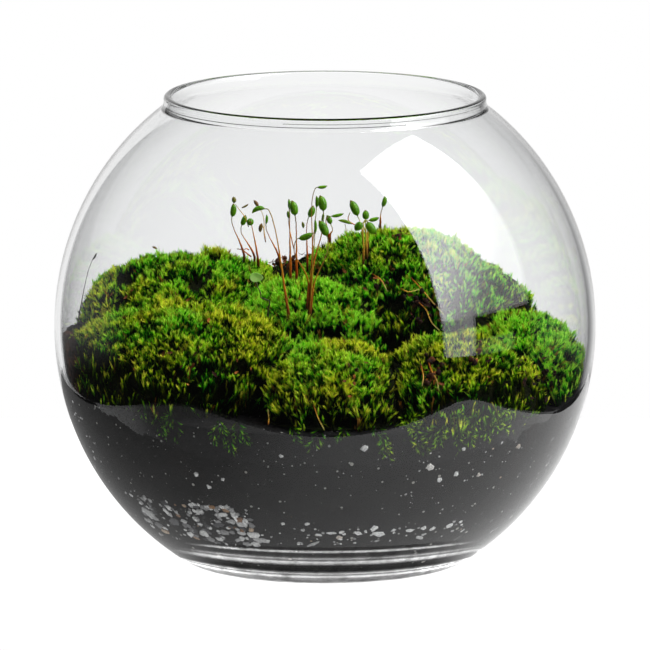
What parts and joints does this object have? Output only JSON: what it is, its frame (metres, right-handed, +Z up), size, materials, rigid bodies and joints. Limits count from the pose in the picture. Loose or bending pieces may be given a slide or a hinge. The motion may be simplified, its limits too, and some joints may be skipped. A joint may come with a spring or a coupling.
{
  "type": "glass plant terrarium",
  "caption": "Round clear glass bowl, open at the top, planted as a small terrarium: black soil, cushions of green moss, wiry stalks with green moss capsules and a seedling.",
  "frame": {"origin": "middle of the flat foot, on the surface that the bowl stands on", "axes": "+Z up through the mouth; +X to the right and +Y away from a viewer who sees the moss rise towards the back"},
  "size_m": [0.15, 0.15, 0.1316],
  "materials": {
    "clear_glass": "clear, polished, thick at the base",
    "black_soil": "moist, crumbly, speckled with pale grit",
    "moss": "soft upright shoots, bright at their tips and dark between them",
    "seta": "thin and wiry, orange-red below and grey-brown above",
    "capsule": "smooth, satin green",
    "seedling_stem": "thin, dark and crooked",
    "seedling_leaf": "thin, satin, pale green"
  },
  "bodies": {
    "root": {"glass_bowl": "clear_glass", "soil_bed": "black_soil", "moss_front_left": "moss", "moss_front_middle": "moss", "moss_front_right": "moss", "moss_left": "moss", "moss_middle": "moss", "moss_right": "moss", "moss_back_left": "moss", "moss_back_middle": "moss", "moss_back_right": "moss", "seta_01": "seta", "seta_02": "seta", "seta_03": "seta", "seta_04": "seta", "seta_05": "seta", "seta_06": "seta", "seta_07": "seta", "seta_08": "seta", "seta_09": "seta", "seta_10": "seta", "seta_11": "seta", "seta_12": "seta", "seta_13": "seta", "seta_14": "seta", "seta_15": "seta", "seta_16": "seta", "seta_17": "seta", "seta_18": "seta", "seta_19": "seta", "seta_20": "seta", "seta_21": "seta", "seta_22": "seta", "seta_23": "seta", "capsule_01": "capsule", "capsule_02": "capsule", "capsule_03": "capsule", "capsule_04": "capsule", "capsule_05": "capsule", "capsule_06": "capsule", "capsule_07": "capsule", "capsule_08": "capsule", "capsule_09": "capsule", "capsule_10": "capsule", "capsule_11": "capsule", "capsule_12": "capsule", "capsule_13": "capsule", "capsule_14": "capsule", "capsule_15": "capsule", "capsule_16": "capsule", "capsule_17": "capsule", "capsule_18": "capsule", "capsule_19": "capsule", "capsule_20": "capsule", "capsule_21": "capsule", "capsule_22": "capsule", "capsule_23": "capsule", "seedling_stem": "seedling_stem", "seedling_leaf": "seedling_leaf"}
  },
  "joints": []
}
